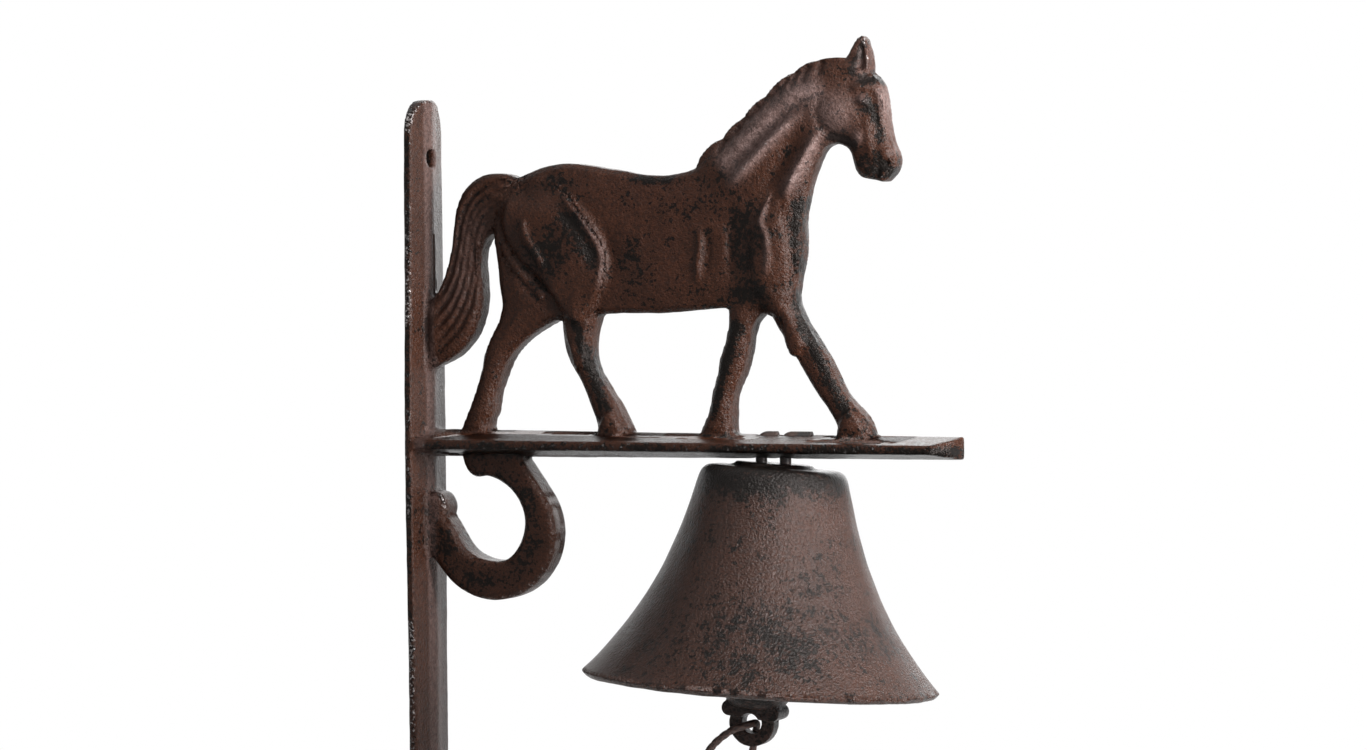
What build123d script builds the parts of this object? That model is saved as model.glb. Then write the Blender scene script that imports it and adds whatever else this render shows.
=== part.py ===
# A cast-iron wall bell: a wall plate with an arm, a walking horse on the arm, a horseshoe brace below it,
# and a bell with a clapper and a pull cord that hang from a wire staple.
# Frame: +X away from the wall, +Z up, Y along the wall. The origin is on the plate's flat back face,
# midway between the two screw holes. The casting is the same on both sides of Y = 0.
import os
from math import cos, pi, radians, sin, sqrt, tan

from build123d import *

# Wall plate
plate_length = 245.0
plate_width = 24.4
plate_end_width = 20.8
plate_edge = 2.0
plate_ridge = 4.3
plate_corner = 9.5
screw_inset = 17.0
screw_hole = 5.5

# Arm
arm_level = 22.5
arm_reach = 167.0
arm_width = 24.0
arm_edge = 2.5
arm_root_ridge = 8.2
arm_tip_ridge = 6.5
arm_prow = 5.3
arm_corner = 2.0

# Horse: how far each form stands out from the middle of the casting, and the bevel round its face
trunk_relief = 4.4
thigh_relief = 6.7
shoulder_relief = 6.3
near_leg_relief = 3.8
upper_leg_relief = 5.2
hoof_relief = 5.4
far_leg_relief = 4.8
tail_relief = 4.6
mane_relief = 3.6
ear_relief = 3.0
face_bevel = 1.5
muscle_bevel = 1.8
leg_bevel = 1.1
ear_bevel = 0.6
hoof_sink = 2.0

# Carving on the horse: rounded ridges and grooves, and how far they stand out or cut in
neck_ridge = 1.7
neck_ridge_rise = 1.0
muscle_ridge = 1.5
muscle_ridge_rise = 0.8
rib_ridge = 1.2
rib_rise = 0.5
flute = 0.8
flute_depth = 0.5
face_groove = 0.7
face_groove_depth = 0.5
cheek_width = 10.6
cheek_rise = 1.2
eye_width = 3.8
eye_rise = 0.8
jaw_width = 4.0
jaw_rise = 0.6
nostril = 1.9

# Horseshoe brace
shoe_centre = (24.2, -3.2)
shoe_radius = 19.8
shoe_spread = 35.0
wall_spread = 50.0
shoe_relief = 5.0
shoe_bevel = 1.2

# Hanger staple
hang_reach = 110.0
wire = 3.3
staple_gauge = 7.3
wire_clearance = 0.15
clinch_bend = 2.2
clinch_proud = 0.8
clinch_lengths = (5.0, 8.0)

# Bell
bell_height = 63.5
bell_mouth = 101.8
bell_crown = 43.0
bell_shoulder = 4.2
bell_flare = 2.7
bell_wall = 3.0
bell_lip = 1.4
bell_boss = 24.0
bell_boss_rise = 1.2
crown_thickness = 3.4
crown_gap = 1.2
crown_hole = 5.1
bell_lean = 3.4
bell_tip = 3.0

# Clapper and its link
link_wire = 2.4
link_radius = 5.5
link_play = 0.45
eye_play = 0.65
eye_hole = 5.0
eye_rim = 2.4
eye_thickness = 3.0
shank = 6.0
ball = 21.0
ball_drop = 45.0
waist = 15.5
collar = 17.4
collar_depth = 4.4
collar_thickness = 9.0
collar_drop = 8.4
ring_drop = 12.1
ring_outer = 13.6
ring_hole = 6.0
ring_thickness = 4.4
clapper_lean = 6.6

# Pull cord
cord = 2.2
knot_width = 7.0
knot_height = 8.0

os.makedirs("parts", exist_ok=True)


def arm_half_ridge(reach):
    """Half the arm's thickness along its middle, which thins from the wall to the tip."""
    return (arm_root_ridge + (arm_tip_ridge - arm_root_ridge) * reach / arm_reach) / 2


# Levels that follow from the sizes above
screw_level = plate_length / 2 - screw_inset
arm_top = arm_level + arm_half_ridge(arm_reach / 2)
hang_top = arm_level + arm_half_ridge(hang_reach)
hang_bottom = arm_level - arm_half_ridge(hang_reach)

# The figure is drawn on the casting's middle plane, with heights measured from the arm's top ridge
figure = Plane(origin=(0, 0, arm_top), x_dir=(1, 0, 0), z_dir=(0, -1, 0))
profile = Plane(origin=(0, 0, 0), x_dir=(1, 0, 0), z_dir=(0, -1, 0))
tail_root = plate_ridge / 2
shoe_top = arm_level - arm_root_ridge / 2


def raised_form(relief, bevel, *runs):
    """One form of the figure, the same on both faces of the casting, with a bevel round each face.

    Its outline is made of runs of points: two points make a straight run, more make a smooth one.
    """
    with BuildPart() as form:
        with BuildSketch(figure):
            with BuildLine():
                for run in runs:
                    if len(run) == 2:
                        Line(*run)
                    else:
                        Spline(*run)
            make_face()
        extrude(amount=relief)
        face_edges = form.faces().sort_by(Axis.Y)[0].edges()
        chamfer(face_edges.filter_by(lambda edge: edge.center().Z > arm_top), length=bevel)
        mirror(about=Plane.XZ)
    return form.part


def ridge(points, half_width, level):
    """A rounded ridge along a smooth run of points, the same on both faces of the casting.

    Its middle line lies at a level from the casting's middle plane. Cut away, it leaves a groove.
    """
    with BuildPart() as strand:
        with BuildLine(figure.offset(level)) as middle:
            Spline(*points)
        with BuildSketch(Plane(origin=middle.line @ 0, z_dir=middle.line % 0)):
            Circle(half_width)
        sweep()
        with Locations(middle.line @ 0, middle.line @ 1):
            Sphere(half_width)
        mirror(about=Plane.XZ)
    return strand.part


def swelling(place, width, rise, relief):
    """A low round cap on both faces, that rises from a form's relief."""
    x, height = place
    half_width = width / 2
    face_point = (x, -relief, arm_top + height)
    with BuildPart() as cap:
        with BuildSketch(Plane(origin=face_point, x_dir=(1, 0, 0), z_dir=(0, 0, -1))):
            with BuildLine():
                RadiusArc((0, rise), (half_width, 0), (half_width ** 2 + rise ** 2) / (2 * rise))
                Polyline((half_width, 0), (half_width, -face_bevel), (0, -face_bevel), (0, rise))
            make_face()
        revolve(axis=Axis(face_point, (0, -1, 0)))
        mirror(about=Plane.XZ)
    return cap.part


# Trunk, neck and head
back = [(30.5, 72.4), (37, 74.9), (45, 77.1), (55, 76.5), (65, 74.9), (76, 73.4), (83, 74), (88.4, 75.4)]
crest = [back[-1], (96.4, 83), (105.4, 91.6), (118, 101.2), (126, 104.3), (134, 105), (139.8, 101.6)]
face = [crest[-1], (143.8, 98), (145, 92), (145.7, 86.7), (147.2, 80.9), (148.5, 77.6), (147.4, 73.5),
        (144.5, 70.7)]
jaw = [face[-1], (141, 71.6), (137.6, 72.6), (135.9, 75.5), (134.6, 79.7), (131.5, 81.6), (128.3, 81.4),
       (126, 79)]
chest = [jaw[-1], (123.7, 74.2), (121.7, 67.7), (120.2, 60), (120.2, 52), (118.8, 44), (116.2, 36),
         (110, 33.4)]
belly = [chest[-1], (96.3, 35.6), (90, 35.2), (76, 34.1), (63, 34.1), (56, 33.6), (44, 32)]
rump = [belly[-1], (33, 33), (27.6, 39), (26.2, 47), (25, 55), (26.3, 66), back[0]]
trunk = raised_form(trunk_relief, face_bevel, back, crest, face, jaw, chest, belly, rump)

# Near hind leg: the leg itself, a fuller upper part on it, the hoof, and the thigh over the trunk
hind_top = (46.8, 37)
hind_front = [(58.4, 37), (57.2, 33), (55.8, 28), (55.5, 23), (57.5, 16.2), (60.3, 12), (63.8, 6.5),
              (67.8, -hoof_sink)]
hind_back = [(57.2, -hoof_sink), (57, 1.5), (55.6, 6.1), (53.4, 11.5), (50.8, 16.7), (47.9, 21.6), (46.8, 26),
             (46.4, 31), hind_top]
near_hind = raised_form(near_leg_relief, leg_bevel, hind_front, [hind_front[-1], hind_back[0]], hind_back,
                        [hind_top, hind_front[0]])
gaskin = [(57.2, 40), (56, 31), (54.4, 25), (53.8, 19), (51.4, 18.2), (49.2, 22.6), (47.8, 27), (47.6, 33),
          (46.6, 40)]
near_gaskin = raised_form(upper_leg_relief, leg_bevel, gaskin, [gaskin[-1], gaskin[0]])
hind_hoof = [(58, -hoof_sink), (58.4, 3.4), (61.4, 6.6), (64.6, 3), (67, -hoof_sink)]
near_hind_hoof = raised_form(hoof_relief, leg_bevel, hind_hoof, [hind_hoof[-1], hind_hoof[0]])
thigh_front = [(34, 71.4), (42, 72.6), (49, 68.6), (55.4, 61.8), (59.8, 54.6), (61.6, 47), (59.6, 39),
               (55.6, 33), (51.8, 30.4)]
thigh_back = [thigh_front[-1], (48.2, 33), (43.6, 39.6), (37.6, 45.4), (31.6, 51.6), (28.4, 58.4), (29.2, 66),
              thigh_front[0]]
thigh = raised_form(thigh_relief, muscle_bevel, thigh_front, thigh_back)

# Far hind leg
stifle = [(28, 54), (34, 46), (40, 39), (45.4, 32.9)]
far_hind_front = [stifle[-1], (39.6, 29.7), (34, 26), (31, 23.1), (28.4, 19.5), (26.4, 14.7), (24.7, 9.5),
                  (24.2, 5.7), (22.8, 2.5), (22.8, -hoof_sink)]
far_hind_back = [(13.4, -hoof_sink), (15.2, 3), (17.9, 9.2), (20.4, 16), (22, 23), (25, 29.2), (27.2, 34),
                 (27.3, 39.5), (26.4, 47), stifle[0]]
far_hind = raised_form(far_leg_relief, face_bevel, stifle, far_hind_front,
                       [far_hind_front[-1], far_hind_back[0]], far_hind_back)

# Near fore leg: the leg itself, the forearm on it, the hoof, and the shoulder over the trunk
fore_top = (108.6, 40)
fore_front = [(117.8, 40), (119, 35), (123.5, 27.2), (129, 18.2), (132.9, 10.8), (137.2, 6.4),
              (140.8, -hoof_sink)]
fore_back = [(130.6, -hoof_sink), (129.7, 3.6), (125.5, 10), (121.2, 16.4), (117.8, 22.3), (113, 29.6), fore_top]
near_fore = raised_form(near_leg_relief, leg_bevel, fore_front, [fore_front[-1], fore_back[0]], fore_back,
                        [fore_top, fore_front[0]])
forearm = [(117.2, 42), (119, 32), (121.4, 25), (118.4, 22), (114, 31), (109.8, 42)]
near_forearm = raised_form(upper_leg_relief, leg_bevel, forearm, [forearm[-1], forearm[0]])
fore_hoof = [(131.4, -hoof_sink), (131.2, 3.4), (134.4, 7.4), (137.8, 4), (140, -hoof_sink)]
near_fore_hoof = raised_form(hoof_relief, leg_bevel, fore_hoof, [fore_hoof[-1], fore_hoof[0]])
shoulder_front = [(111, 68), (116, 62), (118.2, 50), (117.6, 40), (114.6, 32.6)]
shoulder_back = [shoulder_front[-1], (109.4, 35.6), (105.8, 43), (105, 54), (107, 63), shoulder_front[0]]
shoulder = raised_form(shoulder_relief, muscle_bevel, shoulder_front, shoulder_back)

# Far fore leg
far_fore_front = [(107.6, 33.5), (105.2, 31), (103.9, 25), (102.6, 19.7), (101.2, 16), (99, 11), (98.5, 6),
                  (98.5, 2), (98.9, -hoof_sink)]
far_fore_back = [(88.6, -hoof_sink), (89.6, 1.5), (91.8, 6.5), (92.5, 10.4), (93.9, 15), (94.9, 20.4),
                 (97.2, 27.5), (98, 32.5), (97.8, 38)]
far_elbow = (104, 42)
far_fore = raised_form(far_leg_relief, face_bevel, far_fore_front, [far_fore_front[-1], far_fore_back[0]],
                       far_fore_back, [far_fore_back[-1], far_elbow], [far_elbow, far_fore_front[0]])

# Tail, from the dock down to the wall plate
tail_back = [(tail_root, 36.2), (7.4, 41.2), (10.4, 48.7), (11.8, 55.7), (12.8, 63.2), (15, 68.7),
             (19.2, 72.9), (25.3, 74.7), (32, 73.2)]
tail_front = [(23.2, 56.5), (20.7, 51), (20.9, 44), (21.2, 39), (20.4, 34), (18.4, 28.5), (14.6, 23.6),
              (9.2, 20), (tail_root, 17)]
tail = raised_form(tail_relief, face_bevel, tail_back, [tail_back[-1], (27, 62), tail_front[0]], tail_front,
                   [tail_front[-1], tail_back[0]])

# Ear
ear_tip = [(132.6, 102.6), (134.8, 107.8), (138.2, 111.8), (140.2, 107.6), (140.2, 100.6)]
ear = raised_form(ear_relief, ear_bevel, ear_tip, [ear_tip[-1], ear_tip[0]])

# Mane: a row of locks along the crest, each a rounded lobe between two notches
mane_notches = [back[-1], (96.4, 83.6), (103.2, 89.7), (109.8, 95.3), (118.2, 101.8), (124.8, 104.9),
                (133, 105.6)]
mane_lobes = [1.6, 0.6, 0.9, 1.1, 0.7, 0.6]
mane_depth = 7.0
with BuildPart() as mane:
    with BuildSketch(figure):
        for start, end, lobe in zip(mane_notches, mane_notches[1:], mane_lobes):
            along = (Vector(*end) - Vector(*start)).normalized()
            inward = Vector(along.Y, -along.X) * mane_depth
            with BuildLine():
                SagittaArc(start, end, lobe)
                Polyline(end, Vector(*end) + inward, Vector(*start) + inward, start)
            make_face()
    extrude(amount=mane_relief, both=True)

# Carved ridges: two on the neck, one on the shoulder, two on the hindquarters and two ribs
neck_level = trunk_relief + neck_ridge_rise - neck_ridge
muscle_level = muscle_ridge_rise - muscle_ridge
rib_level = trunk_relief + rib_rise - rib_ridge
carved_ridges = [
    ridge([(124.5, 91.5), (115.9, 84.2), (106.1, 74.3), (101.7, 69.8)], neck_ridge, neck_level),
    ridge([(126, 84.5), (120.6, 75.1), (115.7, 66.9)], neck_ridge, neck_level),
    ridge([(113.2, 65), (112, 59.6), (113.4, 55), (112.4, 45)], muscle_ridge, shoulder_relief + muscle_level),
    ridge([(36.4, 60), (37.5, 55.6), (40.2, 51.5), (42, 47.6)], muscle_ridge, thigh_relief + muscle_level),
    ridge([(29.4, 53.4), (31.4, 49.6), (35.8, 44.6), (41, 39.4)], muscle_ridge, far_leg_relief + muscle_level),
    ridge([(89.7, 58.8), (90.3, 53.7), (89.4, 47.7), (89.7, 42.6)], rib_ridge, rib_level),
    ridge([(97.4, 58.6), (97.6, 54), (97.2, 47)], rib_ridge, rib_level),
]

# Face: cheek, eye, a lump at the jaw, and where the nostril is
nostril_place = (146.2, 76.4)
carved_face = [
    swelling((131.8, 90.2), cheek_width, cheek_rise, trunk_relief),
    swelling((140, 93.2), eye_width, eye_rise, trunk_relief),
    swelling((137.8, 81.2), jaw_width, jaw_rise, trunk_relief),
]

# Grooves: between the locks of the tail, along the lips and down the ear
tail_flutes = [
    [(30, 72), (22.8, 70.8), (17, 65), (13.9, 53), (8.4, 39.4)],
    [(28.4, 69.2), (21.2, 67), (16.8, 58.6), (14.4, 45.6), (6.8, 33.4)],
    [(27, 66.6), (20.6, 63.8), (17.7, 54.6), (15.2, 41), (6.8, 29.2)],
    [(25.6, 63.6), (20.8, 60), (18.9, 51), (16.2, 37.4), (6.8, 25.4)],
]
flute_level = tail_relief + flute - flute_depth
groove_level = trunk_relief + face_groove - face_groove_depth
carved_grooves = [ridge(line, flute, flute_level) for line in tail_flutes]
carved_grooves.append(ridge([(142.8, 72.4), (143.6, 73.8), (146.2, 74.4)], face_groove, groove_level))
carved_grooves.append(ridge([(138.4, 108.6), (138.3, 105.3), (138, 102)], face_groove,
                            ear_relief + face_groove - face_groove_depth))

# Horseshoe brace: the toe is a circle about the shoe's centre, and each branch runs off it in a straight
# line, one to the arm and one to the plate
toe_x, toe_z = shoe_centre
branch_x = toe_x + shoe_radius * cos(radians(shoe_spread))
branch_z = toe_z + shoe_radius * sin(radians(shoe_spread))
lower_x = toe_x - shoe_radius * sin(radians(wall_spread))
lower_z = toe_z - shoe_radius * cos(radians(wall_spread))
branch_rise = arm_level - branch_z
branch_end = (branch_x - branch_rise * tan(radians(shoe_spread)), arm_level)
lower_run = lower_x - tail_root
lower_end = (tail_root, lower_z + lower_run * tan(radians(wall_spread)))
toe_mid = (toe_x + shoe_radius * cos(radians(-45)), toe_z + shoe_radius * sin(radians(-45)))
shoe_inside = [(21.8, 13.3), (27.6, 11.2), (32.5, 6.1), (34.3, -0.3), (32.6, -6.6), (28.4, -11), (22.5, -11.5),
               (15.9, -8.5), (11.6, -2.3), (9, 1.4)]
heel_calkin = [shoe_inside[-1], (9.5, 4.4), (8.4, 6.9), (tail_root, 7)]
arm_calkin = [(15.6, arm_level), (15.6, 15.8), (18.5, 13), shoe_inside[0]]
with BuildPart() as horseshoe:
    with BuildSketch(profile):
        with BuildLine():
            Line(branch_end, (branch_x, branch_z))
            ThreePointArc((branch_x, branch_z), toe_mid, (lower_x, lower_z))
            Line((lower_x, lower_z), lower_end)
            Line(lower_end, heel_calkin[-1])
            Spline(*heel_calkin)
            Spline(*shoe_inside)
            Spline(*arm_calkin)
            Line(arm_calkin[0], branch_end)
        make_face()
    extrude(amount=shoe_relief)
    shoe_edges = horseshoe.faces().sort_by(Axis.Y)[0].edges()
    chamfer(shoe_edges.filter_by(lambda edge: edge.center().X > plate_ridge and edge.center().Z < shoe_top),
            length=shoe_bevel)
    mirror(about=Plane.XZ)

# Staple: where its wire runs
leg_near = hang_reach - staple_gauge / 2
leg_far = hang_reach + staple_gauge / 2
clinch_level = hang_top + clinch_proud - wire / 2
clinch_floor = clinch_level - wire / 2 - wire_clearance
wire_bore = wire + 2 * wire_clearance
crown_top = hang_bottom - crown_gap
crown_under = crown_top - bell_boss_rise - crown_thickness
bend_level = crown_under - 2 * link_play - link_wire - wire / 2

# Arm: a ridge above and below, thinning towards a blunt prow
half_arm = arm_width / 2
half_edge = arm_edge / 2
with BuildPart() as arm:
    for reach in (0, arm_reach):
        half_ridge = arm_half_ridge(reach)
        with BuildSketch(Plane.YZ.offset(reach)):
            with BuildLine():
                Polyline((-half_arm, arm_level - half_edge), (0, arm_level - half_ridge),
                         (half_arm, arm_level - half_edge), (half_arm, arm_level + half_edge),
                         (0, arm_level + half_ridge), (-half_arm, arm_level + half_edge), close=True)
            make_face()
    loft(ruled=True)
    with BuildSketch(Plane.XY.offset(arm_level)):
        with BuildLine():
            Polyline((0, -half_arm), (arm_reach - arm_prow, -half_arm), (arm_reach, 0),
                     (arm_reach - arm_prow, half_arm), (0, half_arm), close=True)
        make_face()
        fillet(vertices().filter_by(lambda corner: corner.X > arm_prow), arm_corner)
    extrude(amount=arm_root_ridge, both=True, mode=Mode.INTERSECT)

# Bracket casting: plate, arm, horse and horseshoe in one piece
half_plate = plate_width / 2
half_end = plate_end_width / 2
half_length = plate_length / 2
with BuildPart() as bracket_casting:
    # The plate's face slopes down from a low ridge to each edge, and the plate narrows towards its ends
    with BuildSketch(Plane.XY.offset(-half_length)):
        with BuildLine():
            Polyline((0, -half_plate), (plate_edge, -half_plate), (plate_ridge, 0), (plate_edge, half_plate),
                     (0, half_plate), close=True)
        make_face()
    extrude(amount=plate_length)
    with BuildSketch(Plane.YZ):
        with BuildLine():
            Polyline((-half_end, -half_length), (half_end, -half_length), (half_plate, arm_level),
                     (half_end, half_length), (-half_end, half_length), (-half_plate, arm_level), close=True)
        make_face()
        fillet(vertices().filter_by(lambda corner: abs(corner.Y) > screw_level), plate_corner)
    extrude(amount=plate_ridge, mode=Mode.INTERSECT)
    hindquarters = (near_hind, near_gaskin, near_hind_hoof, thigh, far_hind, tail)
    forequarters = (near_fore, near_forearm, near_fore_hoof, shoulder, far_fore, ear, mane.part)
    for form in (arm.part, horseshoe.part, trunk, *hindquarters, *forequarters, *carved_ridges, *carved_face):
        add(form)
    for groove in carved_grooves:
        add(groove, mode=Mode.SUBTRACT)
    with Locations(*[figure.offset(side * trunk_relief) * Location(nostril_place) for side in (-1, 1)]):
        Sphere(nostril / 2, mode=Mode.SUBTRACT)
    # Screw holes, and the staple's holes with a seat for each turned-over end
    with Locations(*[Location((0, 0, side * screw_level), (0, 90, 0)) for side in (-1, 1)]):
        Cylinder(screw_hole / 2, 4 * plate_ridge, mode=Mode.SUBTRACT)
    with Locations((leg_near, 0, arm_level), (leg_far, 0, arm_level)):
        Cylinder(wire_bore / 2, 2 * arm_root_ridge, mode=Mode.SUBTRACT)
    for leg, length in zip((leg_near, leg_far), clinch_lengths):
        with Locations((leg, 0, clinch_floor)):
            Box(length + wire_clearance, wire_bore, arm_root_ridge,
                align=(Align.MIN, Align.CENTER, Align.MIN), mode=Mode.SUBTRACT)
bracket_casting.part.label = "bracket_casting"
export_step(bracket_casting.part, "parts/bracket_casting.step")

# Hanger staple: turned-over end, leg, bend below the bell's crown, leg, turned-over end
with BuildPart() as hanger_staple:
    with BuildLine() as staple_path:
        half_gauge = staple_gauge / 2
        bend_centre = bend_level + half_gauge
        leg_end = clinch_level - clinch_bend
        Line((leg_near + clinch_lengths[0], 0, clinch_level), (leg_near + clinch_bend, 0, clinch_level))
        diagonal = clinch_bend * (1 - sqrt(0.5))
        ThreePointArc((leg_near + clinch_bend, 0, clinch_level),
                      (leg_near + diagonal, 0, clinch_level - diagonal), (leg_near, 0, leg_end))
        Line((leg_near, 0, leg_end), (leg_near, 0, bend_centre))
        ThreePointArc((leg_near, 0, bend_centre), (hang_reach, 0, bend_level), (leg_far, 0, bend_centre))
        Line((leg_far, 0, bend_centre), (leg_far, 0, leg_end))
        ThreePointArc((leg_far, 0, leg_end), (leg_far + diagonal, 0, clinch_level - diagonal),
                      (leg_far + clinch_bend, 0, clinch_level))
        Line((leg_far + clinch_bend, 0, clinch_level), (leg_far + clinch_lengths[1], 0, clinch_level))
    with BuildSketch(Plane(origin=staple_path.line @ 0, z_dir=staple_path.line % 0)):
        Circle(wire / 2)
    sweep()
hanger_staple.part.label = "hanger_staple"
export_step(hanger_staple.part, "parts/hanger_staple.step")

# Bell: one profile, turned about an axis that leans a little towards the wall and tips to one side
bell_frame = Plane(Location((hang_reach, 0, crown_under), (-bell_tip, bell_lean, 0)))
bell_side = Plane(origin=bell_frame.origin, x_dir=bell_frame.x_dir, z_dir=-bell_frame.y_dir)
crown_lift = crown_thickness + bell_boss_rise
mouth_level = crown_lift - bell_height
edge_level = mouth_level + bell_lip
shoulder_level = crown_thickness - bell_shoulder
boss_r = bell_boss / 2
crown_r = bell_crown / 2
mouth_r = bell_mouth / 2


def flank(share):
    """A point of the bell's outside, from the shoulder (0) down to the sharp edge of the mouth (1)."""
    widening = (share + share ** bell_flare) / 2
    return crown_r + (mouth_r - crown_r) * widening, shoulder_level + (edge_level - shoulder_level) * share


outside = [flank(share) for share in (0, 0.15, 0.35, 0.55, 0.75, 0.9, 1)]
inside = [(r - bell_wall, z) for r, z in outside]
flank_slope = (outside[1][0] - outside[0][0], outside[1][1] - outside[0][1])
lip_r = mouth_r - bell_lip
with BuildPart() as bell:
    with BuildSketch(bell_side):
        with BuildLine():
            Polyline((inside[0][0] - bell_shoulder, 0), (0, 0), (0, crown_lift),
                     (boss_r - bell_boss_rise, crown_lift), (boss_r, crown_thickness),
                     (crown_r - bell_shoulder, crown_thickness))
            Spline((crown_r - bell_shoulder, crown_thickness), outside[0], tangents=((1, 0), flank_slope))
            Spline(*outside)
            Polyline(outside[-1], (lip_r, mouth_level), (lip_r - bell_wall, mouth_level), inside[-1])
            Spline(*reversed(inside))
            Line(inside[0], (inside[0][0] - bell_shoulder, 0))
        make_face()
    revolve(axis=Axis(bell_frame.origin, bell_frame.z_dir))
    with Locations(*[bell_frame * Location((side * staple_gauge / 2, 0, 0)) for side in (-1, 1)]):
        Cylinder(crown_hole / 2, 4 * crown_lift, mode=Mode.SUBTRACT)
bell.part.label = "bell"
export_step(bell.part, "parts/bell.step")

# Clapper link: a wire ring that hangs on the staple's bend, across it
link_top = bend_level + wire / 2 + link_play + link_wire / 2
link_centre = link_top - link_radius
with BuildPart() as clapper_link:
    with Locations(Location((hang_reach, 0, link_centre), (0, 90, 0))):
        Torus(link_radius, link_wire / 2)
clapper_link.part.label = "clapper_link"
export_step(clapper_link.part, "parts/clapper_link.step")

# Clapper: top eye, shank, ball, flat collar and ring eye, drawn about the link's lowest point and leaning
swing = radians(clapper_lean)
pivot_level = link_centre - link_radius
clapper_frame = Plane(origin=(hang_reach, 0, pivot_level), x_dir=(cos(swing), 0, -sin(swing)),
                      z_dir=(sin(swing), 0, cos(swing)))
clapper_side = Plane(origin=clapper_frame.origin, x_dir=clapper_frame.x_dir, z_dir=-clapper_frame.y_dir)
eye_centre = link_wire / 2 + eye_play - eye_hole / 2
eye_outer = eye_hole / 2 + eye_rim
shank_top = eye_centre - eye_hole / 2 - eye_rim / 2
ball_level = -ball_drop
waist_level = ball_level - sqrt(ball ** 2 - waist ** 2) / 2
collar_level = ball_level - collar_drop
ring_level = ball_level - ring_drop
with BuildPart() as clapper:
    with BuildSketch(clapper_side):
        with BuildLine():
            Line((0, shank_top), (shank / 2, shank_top))
            Line((shank / 2, shank_top), (shank / 2, ball_level + sqrt(ball ** 2 - shank ** 2) / 2))
            ThreePointArc((shank / 2, ball_level + sqrt(ball ** 2 - shank ** 2) / 2), (ball / 2, ball_level),
                          (waist / 2, waist_level))
            Polyline((waist / 2, waist_level), (collar_thickness / 2, collar_level), (0, collar_level),
                     (0, shank_top))
        make_face()
    revolve(axis=Axis(clapper_frame.origin, clapper_frame.z_dir))
    with BuildSketch(clapper_side):
        with Locations((0, collar_level)):
            SlotOverall(collar, collar_depth)
    extrude(amount=collar_thickness / 2, both=True)
    eyes = ((eye_centre, eye_outer, eye_thickness), (ring_level, ring_outer / 2, ring_thickness))
    for level, outer, thickness in eyes:
        with BuildSketch(clapper_side):
            with Locations((0, level)):
                Circle(outer)
        extrude(amount=thickness / 2, both=True)
    for level, hole in ((eye_centre, eye_hole), (ring_level, ring_hole)):
        with BuildSketch(clapper_side):
            with Locations((0, level)):
                Circle(hole / 2)
        extrude(amount=collar, both=True, mode=Mode.SUBTRACT)
clapper.part.label = "clapper"
export_step(clapper.part, "parts/clapper.step")

# Pull cord: up the slack strand, through the ring eye from the front, and down behind it to the knot
cord_route = [
    (97.6, -0.4, -114.0), (91.6, -2.5, -102.0), (86.8, -4.0, -89.0), (85.8, -4.8, -76.0), (91.0, -5.2, -63.9),
    (98.4, -5.2, -57.9), (103.2, -4.7, -56.5), (103.8, -0.2, -56.3), (103.0, 3.36, -57.4), (101.2, 3.36, -66.0),
    (100.4, 3.0, -78.5), (100.1, 1.8, -91.5), (100.0, 0.8, -104.0), (100.0, 0.4, -114.0),
]
longest_arc_share = 0.45


def bend_radii(route):
    """The largest radius that each corner's two runs leave room for."""
    radii = []
    for before, corner, after in zip(route, route[1:], route[2:]):
        run_in = Vector(*corner) - Vector(*before)
        run_out = Vector(*after) - Vector(*corner)
        half_turn = radians(run_in.get_angle(run_out)) / 2
        radii.append(longest_arc_share * min(run_in.length, run_out.length) / tan(half_turn))
    return radii


cord_radii = bend_radii(cord_route)
with BuildPart() as pull_cord:
    with BuildLine() as cord_line:
        FilletPolyline(*cord_route, radius=cord_radii)
    with BuildSketch(Plane(origin=cord_line.line @ 0, z_dir=cord_line.line % 0)):
        Circle(cord / 2)
    sweep()
pull_cord.part.label = "pull_cord"
export_step(pull_cord.part, "parts/pull_cord.step")
print("cord bend radii", [round(radius, 1) for radius in cord_radii])
cord_length = cord_line.wire().length
print("cord length", round(cord_length, 1))
print("cord volume", round(pull_cord.part.volume, 1), "section times length",
      round(pi * cord ** 2 / 4 * cord_length, 1))

# Knot: both strands end in it
knot_x = (cord_route[0][0] + cord_route[-1][0]) / 2
knot_level = cord_route[0][2] + cord / 2 - knot_height / 2
with BuildPart() as pull_knot:
    with BuildSketch(Plane(origin=(knot_x, 0, knot_level), x_dir=(1, 0, 0), z_dir=(0, -1, 0))):
        Ellipse(knot_width / 2, knot_height / 2)
        Rectangle(knot_width, knot_height, align=(Align.MAX, Align.CENTER), mode=Mode.SUBTRACT)
    revolve(axis=Axis((knot_x, 0, knot_level), (0, 0, 1)))
pull_knot.part.label = "pull_knot"
export_step(pull_knot.part, "parts/pull_knot.step")
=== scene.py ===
# %% [markdown]
# # A cast-iron wall bell
# The solids of the bell come in as a fixed frame: wall plate, arm and horse in one casting, a bell on a
# wire staple, and a clapper with a pull cord. This lesson dresses them. The casting is carved, the cord is
# braided, and the iron gets its worn, dark red-brown paint.

# %% Load the frame
from math import cos, pi, radians, sin

import bpy
import numpy as np
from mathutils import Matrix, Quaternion, Vector, kdtree, noise


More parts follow.
